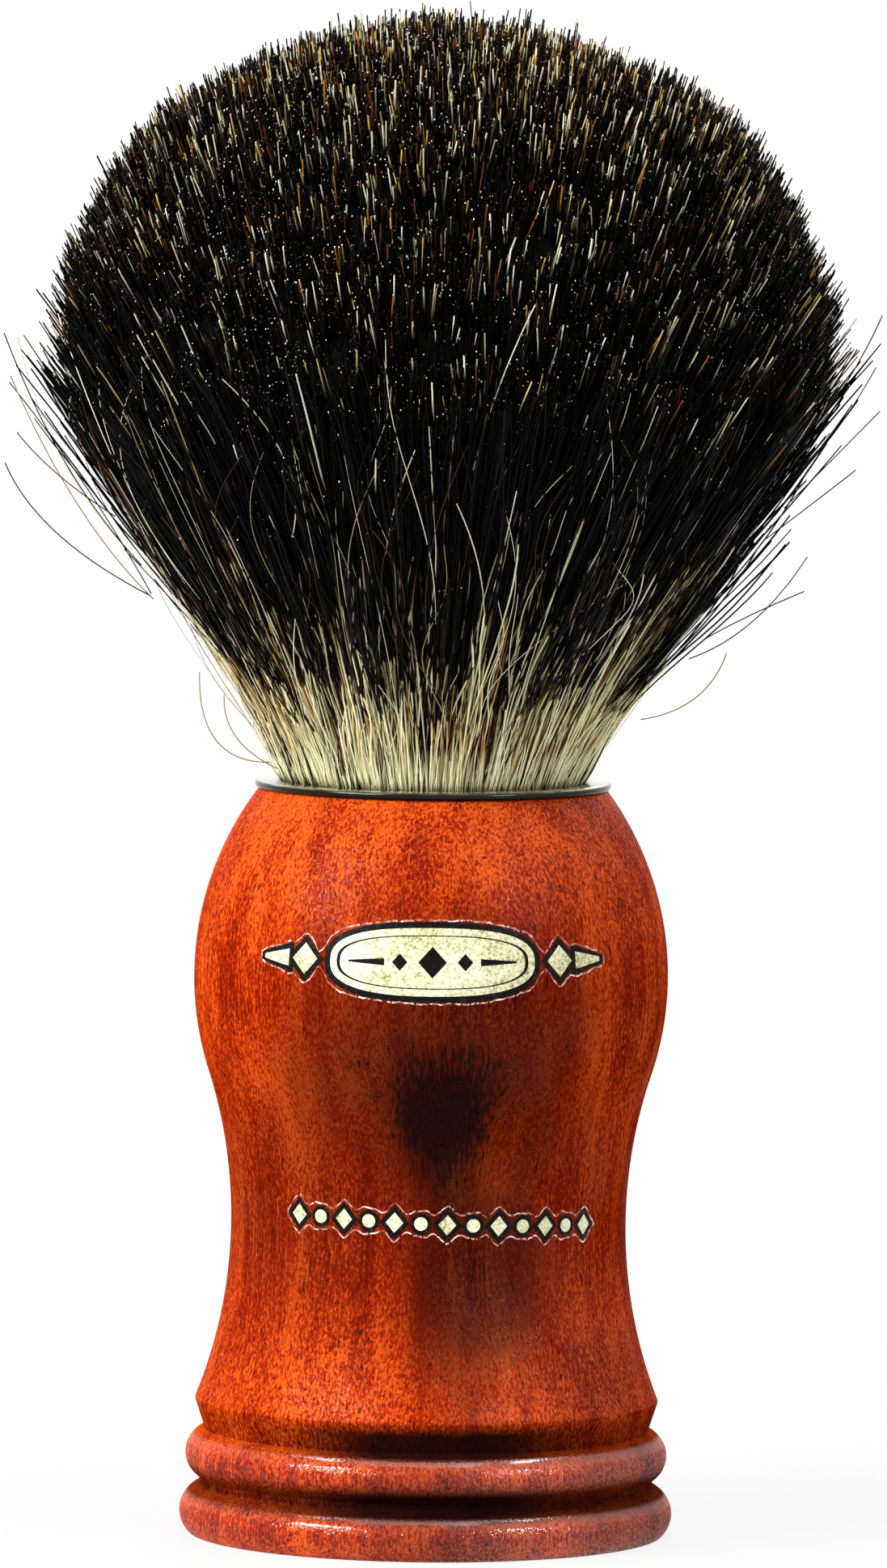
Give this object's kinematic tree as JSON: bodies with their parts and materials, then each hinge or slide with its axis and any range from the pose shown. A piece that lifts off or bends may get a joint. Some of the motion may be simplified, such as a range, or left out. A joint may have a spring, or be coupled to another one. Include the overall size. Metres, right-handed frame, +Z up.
{
  "type": "shaving brush",
  "caption": "Shaving brush with a turned hardwood handle, beaded foot, plated flanged collar and a full, domed badger-hair knot.",
  "frame": {"origin": "centre of the foot, on the flat face that the brush stands on", "axes": "+Z up along the turning axis, from the foot to the hair tips; -Y faces the viewer of the picture, with the two film labels"},
  "size_m": [0.0536, 0.0536, 0.1072],
  "materials": {
    "turned_hardwood": "reddish-brown turned hardwood, semi-gloss lacquer",
    "nickel_plate": "polished nickel plate on brass",
    "badger_hair": "natural hair, cream roots, black band and brown to cream tips",
    "root_resin": "cast epoxy resin full of hair roots",
    "waxed_thread": "waxed linen thread",
    "epoxy": "cured epoxy adhesive",
    "printed_film": "thin lacquered film decal, pale gold with a dark outline"
  },
  "bodies": {
    "root": {"handle": "turned_hardwood", "collar": "nickel_plate", "hair_knot": "badger_hair", "knot_plug": "root_resin", "root_binding": "waxed_thread", "epoxy_bed": "epoxy"}
  },
  "joints": []
}
